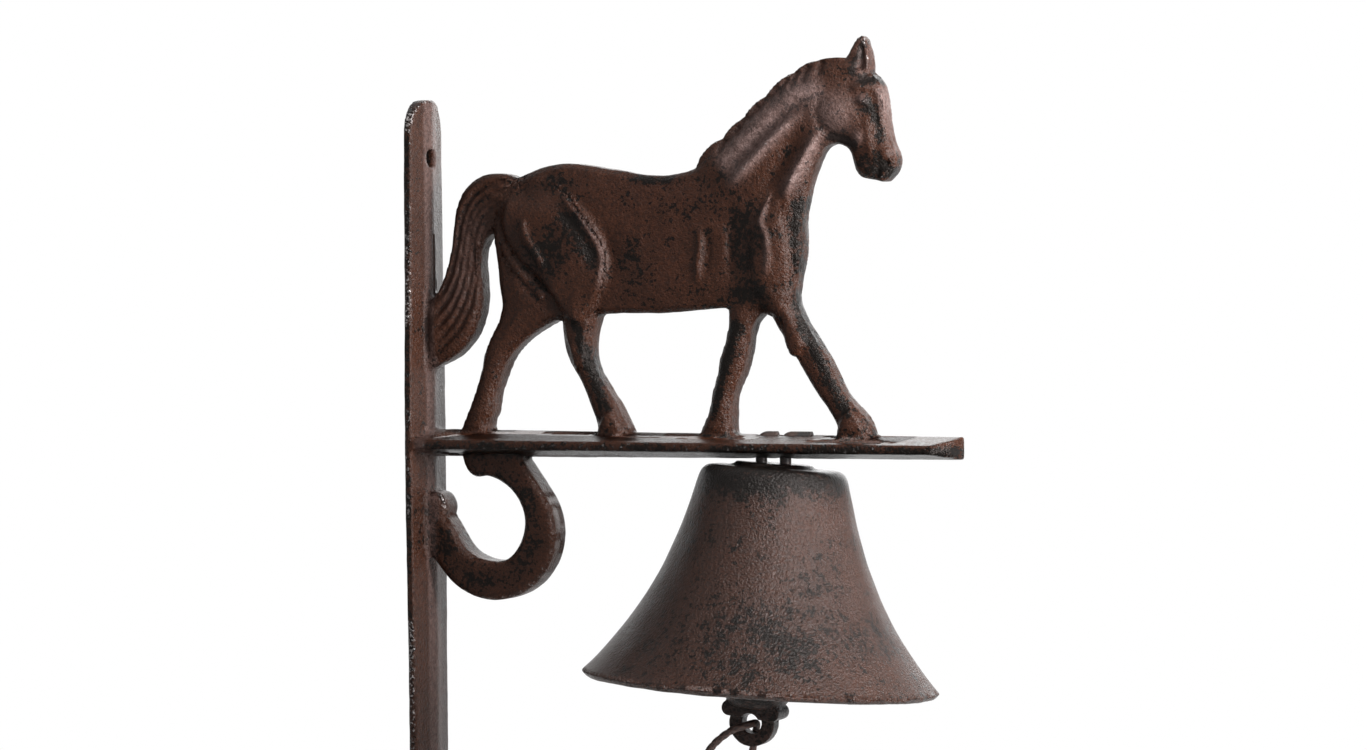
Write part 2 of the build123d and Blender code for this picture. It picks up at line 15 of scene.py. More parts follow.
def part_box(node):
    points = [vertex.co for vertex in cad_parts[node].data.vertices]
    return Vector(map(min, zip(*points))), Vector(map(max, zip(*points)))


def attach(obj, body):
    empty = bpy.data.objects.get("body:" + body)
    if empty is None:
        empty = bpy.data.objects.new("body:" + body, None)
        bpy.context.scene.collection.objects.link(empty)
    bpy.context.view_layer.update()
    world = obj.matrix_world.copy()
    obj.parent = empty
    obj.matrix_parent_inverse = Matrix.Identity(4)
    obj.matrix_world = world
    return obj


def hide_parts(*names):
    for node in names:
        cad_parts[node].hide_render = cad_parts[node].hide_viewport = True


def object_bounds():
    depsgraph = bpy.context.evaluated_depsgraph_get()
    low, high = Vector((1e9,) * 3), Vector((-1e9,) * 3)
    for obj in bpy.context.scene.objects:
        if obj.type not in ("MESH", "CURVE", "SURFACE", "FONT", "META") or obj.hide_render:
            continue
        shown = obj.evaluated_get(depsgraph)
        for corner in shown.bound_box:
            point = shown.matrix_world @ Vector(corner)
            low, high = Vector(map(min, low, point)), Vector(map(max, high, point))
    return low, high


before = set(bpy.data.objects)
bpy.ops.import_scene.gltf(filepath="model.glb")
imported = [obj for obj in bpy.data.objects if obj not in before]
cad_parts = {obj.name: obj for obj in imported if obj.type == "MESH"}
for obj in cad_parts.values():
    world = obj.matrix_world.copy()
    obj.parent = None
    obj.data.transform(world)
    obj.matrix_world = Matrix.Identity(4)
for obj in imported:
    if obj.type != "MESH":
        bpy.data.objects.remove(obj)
cad_low, cad_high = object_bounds()
MM = 0.001
print("CAD box:", [round(v, 4) for v in cad_low], [round(v, 4) for v in cad_high])

# %% [markdown]
# ## Camera
# The bell was photographed with a long lens from a little to the right of square on, and from just above
# the arm. A camera can be posed by hand until it fits, but it is surer to write down the angles and the
# focal length once and let a track quaternion turn them into a rotation.

# %% Camera
photo_width = 1367
focal_pixels = 4375
sensor_width = 36
look_at = Vector((82.7, 0, 42.6)) * MM
stand_off = 1.25
azimuth = radians(22)
elevation = radians(2)
roll = radians(-0.5)
towards_camera = Vector((sin(azimuth) * cos(elevation), -cos(azimuth) * cos(elevation), sin(elevation)))
bpy.ops.object.camera_add(location=look_at + towards_camera * stand_off)
camera = bpy.context.object
camera.name = "photo_camera"
camera.rotation_mode = "QUATERNION"
camera.rotation_quaternion = (-towards_camera).to_track_quat("-Z", "Y") @ Quaternion((0, 0, 1), roll)
camera.data.sensor_width = sensor_width
camera.data.lens = sensor_width * focal_pixels / photo_width
bpy.context.scene.camera = camera
print("lens", round(camera.data.lens, 1), "mm")

# %% [markdown]
# ## Shader arithmetic
# Node trees are easier to read as sums than as wires. One small class wraps a node's output: the usual
# operators add Math nodes, and `make` adds any other node from its type, its settings and its inputs.

# %% A wrapper for node outputs
class Wire:
    """The output of a shader node, for use in expressions."""

    def __init__(self, tree, socket=None):
        self.tree = tree
        self.socket = socket

    def make(self, kind, settings=(), inputs=(), output=0):
        node = self.tree.nodes.new(kind)
        for name, value in dict(settings).items():
            setattr(node, name, value)
        for name, value in dict(inputs).items():
            self.plug(value, node.inputs[name])
        return Wire(self.tree, node.outputs[output])

    def plug(self, value, socket):
        if isinstance(value, Wire):
            self.tree.links.new(value.socket, socket)
        else:
            socket.default_value = value

    def math(self, operation, first, second):
        return self.make("ShaderNodeMath", {"operation": operation}, {0: first, 1: second})

    def __add__(self, other):
        return self.math("ADD", self, other)

    __radd__ = __add__

    def __sub__(self, other):
        return self.math("SUBTRACT", self, other)

    def __rsub__(self, other):
        return self.math("SUBTRACT", other, self)

    def __mul__(self, other):
        return self.math("MULTIPLY", self, other)

    __rmul__ = __mul__

    def step(self, low, high):
        """0 below low, 1 above high, smooth between."""
        settings = {"interpolation_type": "SMOOTHSTEP"}
        return self.make("ShaderNodeMapRange", settings, {"Value": self, "From Min": low, "From Max": high})

    def blend(self, first, second):
        """A colour between two, by this value."""
        settings = {"data_type": "RGBA"}
        return self.make("ShaderNodeMix", settings, {"Factor": self, 6: first, 7: second}, 2)

    def grain(self, scale, detail=2.0, roughness=0.5):
        """Noise on these coordinates, about 0 to 1, with scale waves to the metre."""
        inputs = {"Vector": self, "Scale": scale, "Detail": detail, "Roughness": roughness}
        return self.make("ShaderNodeTexNoise", (), inputs)

    def attribute(self, name):
        """A number that the mesh carries at each point."""
        return self.make("ShaderNodeAttribute", {"attribute_name": name}, output="Fac")

    def bump(self, height, strength, distance):
        inputs = {"Height": height, "Strength": strength, "Distance": distance}
        return self.make("ShaderNodeBump", (), inputs, "Normal")


def new_finish(name):
    """A material: itself, its principled shader, and a wire to start expressions from."""
    material = bpy.data.materials.new(name)
    material.use_nodes = True
    tree = material.node_tree
    return material, tree.nodes["Principled BSDF"], Wire(tree)


print("shader wrapper ready")

# %% [markdown]
# ## Worn paint on cast iron
# The casting was painted dark red-brown over black, and handled until the paint wore off the ridges. A
# mottle of brown and black and a fine orange-peel bump from the sand mould come from noise alone. Three
# masks come from the mesh as attributes, because a shader alone can't know where they belong: `ridge`,
# where the paint is rubbed down to bare iron and painted glints fleck it; a black mask, where the black
# undercoat shows and where shade is painted in hollows and on faces turned from the light; and a pale mask,
# where a pale tint is painted on as highlight.

# %% Painted iron
# The black undercoat, also laid on as painted shade.
black_coat_and_shade = (0.005, 0.0036, 0.003, 1)
# A pale tint laid on as painted highlight.
painted_highlight_tint = (0.135, 0.092, 0.085, 1)
dark_iron = (0.010, 0.008, 0.0075, 1)
# Bright specks on bare iron, painted as glints.
bright_iron_glint = (0.32, 0.295, 0.29, 1)


def painted_iron(name, brown, peel, gloss):
    material, shader, wire = new_finish(name)
    place = wire.make("ShaderNodeTexCoord", output="Object")
    ridge = wire.attribute("ridge")
    black_and_shade = wire.attribute("black_and_shade")
    painted_highlight = wire.attribute("painted_highlight")
    patches = place.grain(60, 3, 0.6)
    mottle = place.grain(260, 4, 0.7)
    specks = place.grain(800, 3, 0.7)
    # The black mixes the undercoat showing through the mottle with painted shade from the mesh's black mask.
    black = (0.3 * patches + 0.5 * mottle + 0.8 * specks + 0.22 * black_and_shade - 0.1 * ridge).step(0.87, 0.93)
    # Rubbed ridges show bare iron, flecked with painted glints.
    rubbed_with_glints = (ridge + 0.8 * specks).step(0.86, 1.12)
    dull = tuple(0.6 * share for share in brown)
    warm = tuple(1.4 * share for share in brown)
    paint = (0.3 * mottle + 0.7 * specks).step(0.38, 0.62).blend((*dull, 1), (*warm, 1))
    painted = black.blend(paint, black_coat_and_shade)
    # A pale tint laid over the paint as painted highlight, where the mesh's pale mask is high.
    painted_highlight_share = painted_highlight * (0.35 + 0.5 * specks.step(0.38, 0.62)) * (1 - 0.6 * black)
    with_painted_highlight = painted_highlight_share.blend(painted, painted_highlight_tint)
    # The bright specks are painted glints; the dark ones are bare iron.
    glints = place.grain(1400, 2, 0.6).step(0.50, 0.60)
    bare_iron_and_glints = glints.blend(dark_iron, bright_iron_glint)
    wire.plug((0.85 * rubbed_with_glints).blend(with_painted_highlight, bare_iron_and_glints), shader.inputs["Base Color"])
    wire.plug(0.33 - 0.04 * black - 0.05 * rubbed_with_glints, shader.inputs["Roughness"])
    wire.plug(0.5 * rubbed_with_glints + 0.5 * black, shader.inputs["Metallic"])
    shader.inputs["Specular IOR Level"].default_value = gloss
    height = 0.35 * place.grain(700, 2, 0.6) + 0.65 * place.grain(1400, 3, 0.7)
    wire.plug(wire.bump(height, 1.0, peel), shader.inputs["Normal"])
    return material


iron_paint = painted_iron("iron_paint", (0.0245, 0.0082, 0.0040), 0.5 * MM, 0.12)
bell_paint = painted_iron("bell_paint", (0.0215, 0.0073, 0.0037), 0.7 * MM, 0.2)
print("finishes:", iron_paint.name, bell_paint.name)

# %% [markdown]
# ## Bent wire and braid
# The staple and the link are drawn wire under the same paint, so they are smoother and darker. The cord is
# a dark brown braid: its colour follows the braid's own mask, which the mesh carries too.

# %% Wire and braid finishes
wire_brown = (0.035, 0.017, 0.012, 1)
wire_black = (0.010, 0.008, 0.008, 1)
braid_shade = (0.008, 0.004, 0.003, 1)
braid_brown = (0.07, 0.034, 0.025, 1)


def painted_wire(name):
    material, shader, wire = new_finish(name)
    place = wire.make("ShaderNodeTexCoord", output="Object")
    blotch = place.grain(260, 3, 0.6)
    wire.plug(blotch.step(0.35, 0.7).blend(wire_brown, wire_black), shader.inputs["Base Color"])
    wire.plug(0.36 + 0.2 * blotch, shader.inputs["Roughness"])
    shader.inputs["Metallic"].default_value = 0.2
    wire.plug(wire.bump(place.grain(1100, 2), 0.6, 0.2 * MM), shader.inputs["Normal"])
    return material


def braid_finish(name):
    material, shader, wire = new_finish(name)
    place = wire.make("ShaderNodeTexCoord", output="Object")
    crown = wire.attribute("ridge")
    fibre = place.grain(2600, 3, 0.7)
    colour = (0.75 * crown + 0.5 * fibre - 0.2).blend(braid_shade, braid_brown)
    wire.plug(colour, shader.inputs["Base Color"])
    wire.plug(0.62 + 0.2 * fibre, shader.inputs["Roughness"])
    wire.plug(wire.bump(fibre, 0.5, 0.1 * MM), shader.inputs["Normal"])
    return material


wire_paint = painted_wire("wire_paint")
cord_braid = braid_finish("cord_braid")
print("finishes:", wire_paint.name, cord_braid.name)

# %% [markdown]
# ## The pull cord
# A limp braided cord is looped through the ring eye under the clapper. Its line is a NURBS curve with the
# route's points as control points, so it bends smoothly near them. The curve gives the points of its own
# line, and the braid is a tube round that line whose radius swells where a strand lies on top.

# %% Cord line
cord_diameter = 2.2 * MM
cord_route = [
    (97.6, -0.4, -114.0), (91.6, -2.5, -102.0), (86.8, -4.0, -89.0), (85.8, -4.8, -76.0),
    (91.0, -5.2, -63.9), (98.4, -5.2, -57.9), (103.2, -4.7, -56.5), (103.8, -0.2, -56.3),
    (103.0, 3.8, -57.2), (101.2, 3.6, -66.0), (100.4, 3.0, -78.5), (100.1, 1.8, -91.5),
    (100.0, 0.8, -104.0), (100.0, 0.4, -114.0),
]


def spline_points(name, route, steps, closed=False):
    """The points of the NURBS curve that has this route, in mm, as its control points."""
    curve = bpy.data.curves.new(name, "CURVE")
    curve.dimensions = "3D"
    curve.resolution_u = steps
    spline = curve.splines.new("NURBS")
    spline.points.add(len(route) - 1)
    for point, place in zip(spline.points, route):
        point.co = (*(Vector(place) * MM), 1)
    spline.order_u = 3
    spline.use_endpoint_u = not closed
    spline.use_cyclic_u = closed
    holder = bpy.data.objects.new(name, curve)
    bpy.context.scene.collection.objects.link(holder)
    bpy.context.view_layer.update()
    line = bpy.data.meshes.new_from_object(holder)
    points = [vertex.co.copy() for vertex in line.vertices]
    bpy.data.objects.remove(holder)
    bpy.data.curves.remove(curve)
    bpy.data.meshes.remove(line)
    return points


cord_line = spline_points("cord_line", cord_route, steps=28)

# %% Points and faces of a braid
points_around = 24
strand_pairs = 4
strand_swell = 0.10


def braid_points(line, diameter, closed):
    """Points in rings round the line, and how high each stands on its strand, 0 to 1."""
    # A strand goes half way round the cord in this length.
    lay = 2.6 * diameter
    count = len(line)
    axis = Vector((0, 1, 0))
    vertices = []
    crowns = []
    travelled = 0.0
    for i in range(count):
        before = line[i - 1] if i or closed else line[i]
        after = line[(i + 1) % count] if i < count - 1 or closed else line[i]
        ahead = (after - before).normalized()
        side = (axis - ahead * axis.dot(ahead)).normalized()
        axis = side
        over = ahead.cross(side)
        if i:
            travelled += (line[i] - line[i - 1]).length
        twist = 2 * pi * travelled / lay
        for k in range(points_around):
            turn = 2 * pi * k / points_around
            one_way = cos(strand_pairs * turn + strand_pairs * twist / 2)
            other_way = cos(strand_pairs * turn - strand_pairs * twist / 2)
            crown = max(one_way, other_way)
            radius = diameter / 2 * (1 - strand_swell + strand_swell * crown)
            vertices.append(line[i] + (side * cos(turn) + over * sin(turn)) * radius)
            crowns.append(0.5 + 0.5 * crown)
    return vertices, crowns


def tube_faces(count, closed):
    """Faces between neighbouring rings, with an end cap each where the tube is open."""
    faces = []
    for i in range(count if closed else count - 1):
        a = i * points_around
        b = (i + 1) % count * points_around
        for k in range(points_around):
            after = (k + 1) % points_around
            faces.append((a + k, a + after, b + after, b + k))
    if not closed:
        faces.append(tuple(reversed(range(points_around))))
        faces.append(tuple(range((count - 1) * points_around, count * points_around)))
    return faces


print("braid helpers ready")

# %% Braided tube
def store(mesh, name, values):
    """One number per point, for the finish to read."""
    mesh.attributes.new(name, "FLOAT", "POINT").data.foreach_set("value", values)


def select_only(piece):
    bpy.ops.object.select_all(action="DESELECT")
    bpy.context.view_layer.objects.active = piece
    piece.select_set(True)


def braided_tube(name, line, diameter, closed=False):
    vertices, crowns = braid_points(line, diameter, closed)
    mesh = bpy.data.meshes.new(name)
    mesh.from_pydata(vertices, [], tube_faces(len(line), closed))
    store(mesh, "ridge", crowns)
    tube = bpy.data.objects.new(name, mesh)
    bpy.context.scene.collection.objects.link(tube)
    select_only(tube)
    bpy.ops.object.mode_set(mode="EDIT")
    bpy.ops.mesh.select_all(action="SELECT")
    bpy.ops.mesh.normals_make_consistent(inside=False)
    bpy.ops.object.mode_set(mode="OBJECT")
    bpy.ops.object.shade_smooth()
    mesh.materials.append(cord_braid)
    return tube


pull_cord = braided_tube("pull_cord_braid", cord_line, cord_diameter)
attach(pull_cord, "clapper")
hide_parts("pull_cord")
print("cord:", len(pull_cord.data.polygons), "faces")

# %% [markdown]
# ## The knot
# Both strands end in an overhand knot. A trefoil is the same knot with its ends joined, so a small trefoil
# of the same braid, drawn tight, stands for it. It is sized to the box of the knot's solid.

# %% Knot
knot_points = 18
trefoil_reach = 2.75
trefoil_depth = 1.9
knot_diameter = cord_diameter * 1.15
knot_low, knot_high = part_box("pull_knot")
knot_centre = (knot_low + knot_high) / 2
knot_room = (knot_high - knot_low) / 2 - Vector((1, 1, 1)) * cord_diameter / 2
knot_route = []
for i in range(knot_points):
    t = 2 * pi * i / knot_points
    across = sin(t) + 2 * sin(2 * t)
    deep = -sin(3 * t) * trefoil_depth
    upward = cos(t) - 2 * cos(2 * t)
    swing = Vector((across, deep, upward)) / trefoil_reach
    knot_route.append((knot_centre + Vector(a * b for a, b in zip(swing, knot_room))) / MM)
knot_line = spline_points("knot_line", knot_route, steps=10, closed=True)
pull_knot = braided_tube("pull_knot_braid", knot_line, knot_diameter, closed=True)
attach(pull_knot, "clapper")
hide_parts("pull_knot")
print("knot:", len(pull_knot.data.polygons), "faces")

# %% [markdown]
# ## Recasting a solid
# A CAD solid has hard, thin edges that no sand mould gives. Voxel remeshing a copy of it gives an even skin
# that can be smoothed and carved like clay. The copy is merged first, because the frame's meshes are loose
# triangles.

# %% Recast
merge_gap = 0.002 * MM
soften_rounds = 2


def recast(node, name, voxel):
    cast = bpy.data.objects.new(name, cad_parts[node].data.copy())
    bpy.context.scene.collection.objects.link(cast)
    select_only(cast)
    bpy.ops.object.mode_set(mode="EDIT")
    bpy.ops.mesh.select_all(action="SELECT")
    bpy.ops.mesh.remove_doubles(threshold=merge_gap)
    bpy.ops.object.mode_set(mode="OBJECT")
    cast.data.remesh_voxel_size = voxel
    cast.data.remesh_voxel_adaptivity = 0
    bpy.ops.object.voxel_remesh()
    smooth = cast.modifiers.new("soften", "SMOOTH")
    smooth.factor = 0.5
    smooth.iterations = soften_rounds
    bpy.ops.object.modifier_apply(modifier=smooth.name)
    cast.data.materials.clear()
    return cast


bracket = recast("bracket_casting", "bracket_cast", 1.08 * MM)
print("bracket skin:", len(bracket.data.polygons), "faces")

# %% [markdown]
# ## More clay where the carving is fine
# The flutes of the tail, the mane and the face are only a millimetre or two wide. Splitting just the faces
# on the figure's sides gives the carving enough points there, and leaves the flat plate and arm light.
# Faces are chosen in face mode, because in point mode Blender would forget them.

# %% Subdivide the sides of the figure
figure_foot = 27.5


def refine_sides(cast, lowest_x, lowest_z, least_facing):
    select_only(cast)
    bpy.ops.object.mode_set(mode="EDIT")
    bpy.ops.mesh.select_mode(type="FACE")
    bpy.ops.mesh.select_all(action="DESELECT")
    bpy.ops.object.mode_set(mode="OBJECT")
    for polygon in cast.data.polygons:
        x, _, z = polygon.center / MM
        polygon.select = x > lowest_x and z > lowest_z and abs(polygon.normal.y) > least_facing
    bpy.ops.object.mode_set(mode="EDIT")
    bpy.ops.mesh.subdivide(number_cuts=1, smoothness=0.0)
    bpy.ops.object.mode_set(mode="OBJECT")


refine_sides(bracket, 7.5, figure_foot, 0.3)
triangles = sum(len(polygon.vertices) - 2 for polygon in bracket.data.polygons)
print("bracket skin:", len(bracket.data.polygons), "faces,", triangles, "triangles")

# %% [markdown]
# ## Carving with strokes
# Carving is a sum of strokes. Each stroke follows a few points on the figure's side, as a sculptor's tool
# would, and raises or sinks the skin by a bell-shaped amount that fades at the stroke's ends. A dab is an
# oval bump or hollow. Both sides of the casting get the same strokes. Places, widths and heights are in
# millimetres, with the way out from the wall first and the height second.

# %% Stroke helpers
def along(points, flat):
    """Distance of each place in the side view from a run of points, and its share of the way along."""
    points = np.array(points, float)
    runs = np.diff(points, axis=0)
    lengths = np.hypot(runs[:, 0], runs[:, 1])
    total = lengths.sum()
    best = np.full(len(flat), np.inf)
    share = np.zeros(len(flat))
    passed = 0.0
    for start, run, length in zip(points, runs, lengths):
        t = np.clip(((flat - start) @ run) / length ** 2, 0, 1)
        gap = np.hypot(*(flat - start - t[:, None] * run).T)
        nearer = gap < best
        best[nearer] = gap[nearer]
        share[nearer] = (passed + t[nearer] * length) / total
        passed += length
    return best, share


def stroke(flat, points, width, height, fade=0.25):
    """A raised or sunk line that fades over this share of its length at each end."""
    gap, share = along(points, flat)
    ends = np.clip(np.minimum(share, 1 - share) / fade, 0, 1) if fade else 1.0
    return height * np.exp(-(gap / width) ** 2) * ends


def dab(flat, centre, size, height):
    """An oval bump or hollow."""
    reach = ((flat - np.array(centre)) / np.array(size)) ** 2
    return height * np.exp(-reach.sum(axis=1))


print("strokes ready")

# %% [markdown]
# ## The horse's muscles
# Ridges catch the light on the haunch, the neck and the shoulder, with hollows beside them. The lines along
# the neck have names, because a painted highlight runs along them too.

# %% Strokes of body and neck
neck_crest = [(129, 124), (119, 121.6), (111.6, 115.4), (103, 107.4), (96, 100)]
neck_muscle = [(122, 117.6), (113.6, 110.4), (105, 102), (98, 95.5)]
throat_muscle = [(127, 112), (120.6, 101.3), (115.4, 92.5)]


def carve_body(flat):
    # Haunch: its edge, the hollow inside the edge, the fold behind the thigh and a ridge on it.
    haunch = [(47, 95), (52, 91.2), (56.2, 86.6), (59.4, 81), (61, 76), (61, 71), (59.5, 66)]
    high = stroke(flat, haunch, 1.3, 0.9)
    high += stroke(flat, [(46, 91.5), (51, 87.5), (54.6, 83), (57.2, 78), (57.6, 72)], 2.2, -1.0)
    thigh_fold = [(29.6, 86), (31, 80.5), (34, 76), (38, 71.8), (43, 67.6), (47.6, 62)]
    high += stroke(flat, thigh_fold, 1.8, -0.35)
    high += stroke(flat, [(35.5, 86), (37.5, 81.8), (40.2, 77.7), (42, 74)], 1.6, 0.3)
    # Neck: three muscles and the two hollows between them.
    high += stroke(flat, neck_crest, 2.6, 0.9)
    high += stroke(flat, neck_muscle, 1.7, 1.9)
    high += stroke(flat, throat_muscle, 1.6, 1.7)
    high += stroke(flat, [(122, 120.6), (116, 117), (109.4, 110.8), (103, 104.8), (98, 99.5)], 1.9, -0.9)
    high += stroke(flat, [(122, 112), (117.4, 106.6), (113.4, 100.5), (109.4, 95)], 2.1, -1.0)
    # Shoulder: its edge, the chest, the hollow behind it and the fold over the fore leg.
    shoulder = [(112, 95.5), (110.2, 90), (109.2, 86.4), (111.2, 81.6), (111.6, 76.5), (110.6, 70)]
    high += stroke(flat, shoulder, 0.9, 0.8)
    high += stroke(flat, [(121.2, 92), (120, 84), (120, 78), (118, 69)], 1.3, 0.8)
    high += stroke(flat, [(101, 91.5), (99.8, 86), (99.4, 80), (99.4, 73.8), (99.3, 66)], 2.0, -0.7)
    high += stroke(flat, [(117.4, 66.8), (113.4, 67.6), (109.5, 67.2)], 1.2, -0.3)
    # Ribs behind the shoulder.
    high += stroke(flat, [(89.9, 86), (90.3, 79.9), (89.4, 73.9), (89.8, 68)], 0.9, 0.6)
    high += stroke(flat, [(92.2, 84), (92.6, 78), (92, 70)], 1.2, -0.45)
    high += stroke(flat, [(97.4, 85), (97.6, 80), (97.2, 73)], 0.9, 0.2)
    return high


def rump_fade(flat, sides):
    """How far the top of the haunch sinks, so that it runs into the croup without a step."""
    upper = np.clip((flat[:, 1] - 88) / 9, 0, 1)
    rear = np.clip((54 - flat[:, 0]) / 6, 0, 1)
    off_tail = flat[:, 0] > 27
    share = upper * rear * off_tail
    proud = np.clip(np.abs(sides) - 4.6, 0, 3)
    return proud * share ** 2 * (3 - 2 * share)


print("body strokes ready")

# %% [markdown]
# ## Tail and mane
# The tail is a sheaf of locks that turns over the dock and runs down to the plate: grooves part the locks.
# The mane's locks are parted by short slanting grooves.

# %% Strokes of tail and mane
tail_grooves = [
    [(31.5, 98.7), (27.4, 98.4), (22.8, 97), (19.4, 94.6), (16.8, 91), (15, 85.5), (13.7, 79),
     (11.9, 72), (8.4, 65)],
    [(29.5, 96), (25.2, 95.4), (21.2, 93.2), (18.2, 89.6), (16.6, 84.6), (15.5, 78), (14.2, 71.5),
     (11.4, 65), (6.6, 59.2)],
    [(28.5, 93.8), (24.2, 92.8), (20.6, 90), (18.4, 86), (17.5, 80.6), (16.6, 74), (15, 67),
     (11.8, 60.8), (6.6, 55)],
    [(28.4, 91.6), (24.4, 90.4), (21.2, 87.6), (19.4, 83.2), (18.7, 77), (17.8, 70), (16, 63.6),
     (12.6, 57.6), (6.6, 51.4)],
    [(27, 89), (23.4, 86.8), (21.2, 82.6), (20.2, 77), (19.5, 70), (18, 62.4), (14.6, 56), (7, 48.6)],
]
mane_grooves = [
    [(97.3, 109.8), (95.4, 105.5)], [(101.5, 113.6), (98, 108.6)], [(104.2, 116.4), (100.6, 110.6)],
    [(107.4, 119.2), (104.6, 114.4)], [(110.4, 122), (107.2, 116.8)], [(113.4, 124.4), (110.6, 119.4)],
    [(116.4, 126.8), (113.8, 121.6)], [(119.4, 128.8), (117.2, 123.4)], [(122.6, 130.2), (121, 125)],
    [(126.8, 131.4), (126, 127)],
]


def carve_hair(flat):
    high = np.zeros(len(flat))
    for groove in tail_grooves:
        high += stroke(flat, groove, 0.8, -0.8, 0.08)
    for groove in mane_grooves:
        high += stroke(flat, groove, 1.0, -0.8, 0.05)
    return high


print("hair strokes:", len(tail_grooves), "in the tail,", len(mane_grooves), "in the mane")

# %% [markdown]
# ## The face
# The face has a round cheek, an eye in its socket under a brow, a long nose ridge with a groove beside it,
# a nostril, a cleft between the lips, and a hollow ear.

# %% Strokes of the face
nose_ridge = [(144, 124.6), (145.2, 118), (147, 111), (149.4, 105.6)]


def carve_face(flat):
    # Cheek and the line round it.
    high = dab(flat, (131.4, 115.4), (5.4, 5.6), 0.5)
    cheek_line = [(127.2, 122), (125.6, 117.4), (126.4, 113.4), (129, 110.8), (132.6, 109.6), (136.4, 109.3)]
    high += stroke(flat, cheek_line, 1.1, -0.5, 0.12)
    # Socket, eyeball, brow and the hollow over the brow.
    high += dab(flat, (139.3, 120), (3.0, 2.5), -1.0)
    high += dab(flat, (139.3, 120), (1.6, 1.4), 1.7)
    high += stroke(flat, [(135.8, 122.6), (138.8, 123.6), (141.8, 122.6)], 1.0, 0.8)
    high += dab(flat, (140.6, 126), (2.4, 1.2), -0.6)
    # Nose: ridge, groove, the bone below the eye and the corner of the jaw.
    high += stroke(flat, nose_ridge, 0.9, 0.9, 0.15)
    high += stroke(flat, [(142.6, 119.4), (143.4, 113.4), (145.2, 107.6)], 1.0, -0.5)
    high += stroke(flat, [(140.2, 115), (141.2, 109), (141.6, 104)], 1.0, 0.5)
    high += dab(flat, (137.9, 109.6), (1.7, 1.6), 0.6)
    # Nostril, lips and chin.
    high += dab(flat, (147.0, 104.8), (2.0, 1.6), 0.8)
    high += dab(flat, (147.4, 104.6), (1.1, 1.0), -1.3)
    high += stroke(flat, [(143.2, 98), (143.8, 101.2), (146, 102.2), (148.6, 102)], 0.8, -0.6, 0.1)
    high += dab(flat, (140.4, 100.8), (1.6, 1.5), 0.5)
    # Ear: its hollow and its front edge.
    high += stroke(flat, [(138.8, 136), (138.5, 132), (138.2, 128)], 0.9, -0.5)
    high += stroke(flat, [(140, 134), (140.3, 130), (139.8, 127)], 0.7, 0.4)
    return high


print("face strokes ready")

# %% [markdown]
# ## Softening shoulder and neck
# The solid is a relief of overlapping forms, which leaves steps on the shoulder and the neck. Each point
# there is drawn towards the mean of its neighbours, many times over, until one form runs into the next.
# Only the way out to the side changes, so the outline stays.

# %% Soften the bracket
def mesh_arrays(mesh):
    """Places in mm, normals, and the two ends of each edge."""
    places = np.empty(3 * len(mesh.vertices))
    normals = np.empty(3 * len(mesh.vertices))
    ends = np.empty(2 * len(mesh.edges), dtype=np.int64)
    mesh.vertices.foreach_get("co", places)
    mesh.vertices.foreach_get("normal", normals)
    mesh.edges.foreach_get("vertices", ends)
    return places.reshape(-1, 3) / MM, normals.reshape(-1, 3), ends.reshape(-1, 2)


def move_points(mesh, places):
    mesh.vertices.foreach_set("co", (places * MM).ravel())
    mesh.update()


def ring_mean(values, ends):
    """The mean of each point's neighbours."""
    count = np.bincount(ends.ravel(), minlength=len(values)).clip(1)
    total = np.bincount(ends[:, 0], values[ends[:, 1]], len(values))
    total += np.bincount(ends[:, 1], values[ends[:, 0]], len(values))
    return total / count


shoulder_rounds = 64
core_half = 3.7
places, _, edge_ends = mesh_arrays(bracket.data)
flat = places[:, [0, 2]]
softened = dab(flat, (108.5, 80), (12, 20), 1.8) + stroke(flat, [(124, 113), (104, 97)], 9, 1.4, 0)
softened = softened.clip(0, 1) * (np.abs(places[:, 1]) > core_half)
for _ in range(shoulder_rounds):
    places[:, 1] += softened * (ring_mean(places[:, 1], edge_ends) - places[:, 1])
move_points(bracket.data, places)
print("softened", int((softened > 0.5).sum()), "points")

# %% [markdown]
# ## Carving the casting
# Only skin that faces sideways is carved. A soft dome is added too: the further a place lies from the
# outline, the fuller it stands, so that the flat CAD faces turn into rounded flesh. A slow noise makes the
# surface as uneven as a sand mould leaves it, and half as strong on the plain plate and arm.

# %% Fullness of the figure
plate_front = 5.5
least_sideways = 0.3
full_sideways = 0.75
rim_sideways = 0.35
dome_height = 1.1
dome_reach = 5
places, facing, _ = mesh_arrays(bracket.data)
on_figure = (flat[:, 1] > figure_foot) & (flat[:, 0] > plate_front)
sideways = (np.abs(facing[:, 1]) - least_sideways) / (full_sideways - least_sideways)
sideways = sideways.clip(0, 1)
rim = kdtree.KDTree(len(places))
for i in np.flatnonzero((np.abs(facing[:, 1]) < rim_sideways) & on_figure):
    rim.insert((flat[i, 0], flat[i, 1], 0), int(i))
rim.balance()
inset = np.zeros(len(places))
for i in np.flatnonzero(on_figure & (sideways > 0)):
    inset[i] = rim.find((flat[i, 0], flat[i, 1], 0))[2]
dome = dome_height * (1 - np.exp(-(inset / dome_reach) ** 2))
print("deepest place from the outline:", round(float(inset.max()), 1), "mm")

# %% Carve the bracket
lump_waves = ((0.22, 0.16), (0.55, 0.08))
carving = dome + carve_body(flat) + carve_hair(flat) + carve_face(flat) - rump_fade(flat, places[:, 1])
places[:, 1] += np.sign(places[:, 1]) * carving * sideways * on_figure
unevenness = np.where(on_figure, 1.0, 0.5)
for i, place in enumerate(places):
    lump = sum(noise.noise(Vector(place) * wave) * size for wave, size in lump_waves)
    places[i] = place + facing[i] * lump * unevenness[i]
places = np.clip(places, np.array(cad_low) / MM, np.array(cad_high) / MM)
move_points(bracket.data, places)
print("carved", int(on_figure.sum()), "points, highest stroke", round(float(carving.max()), 2), "mm")

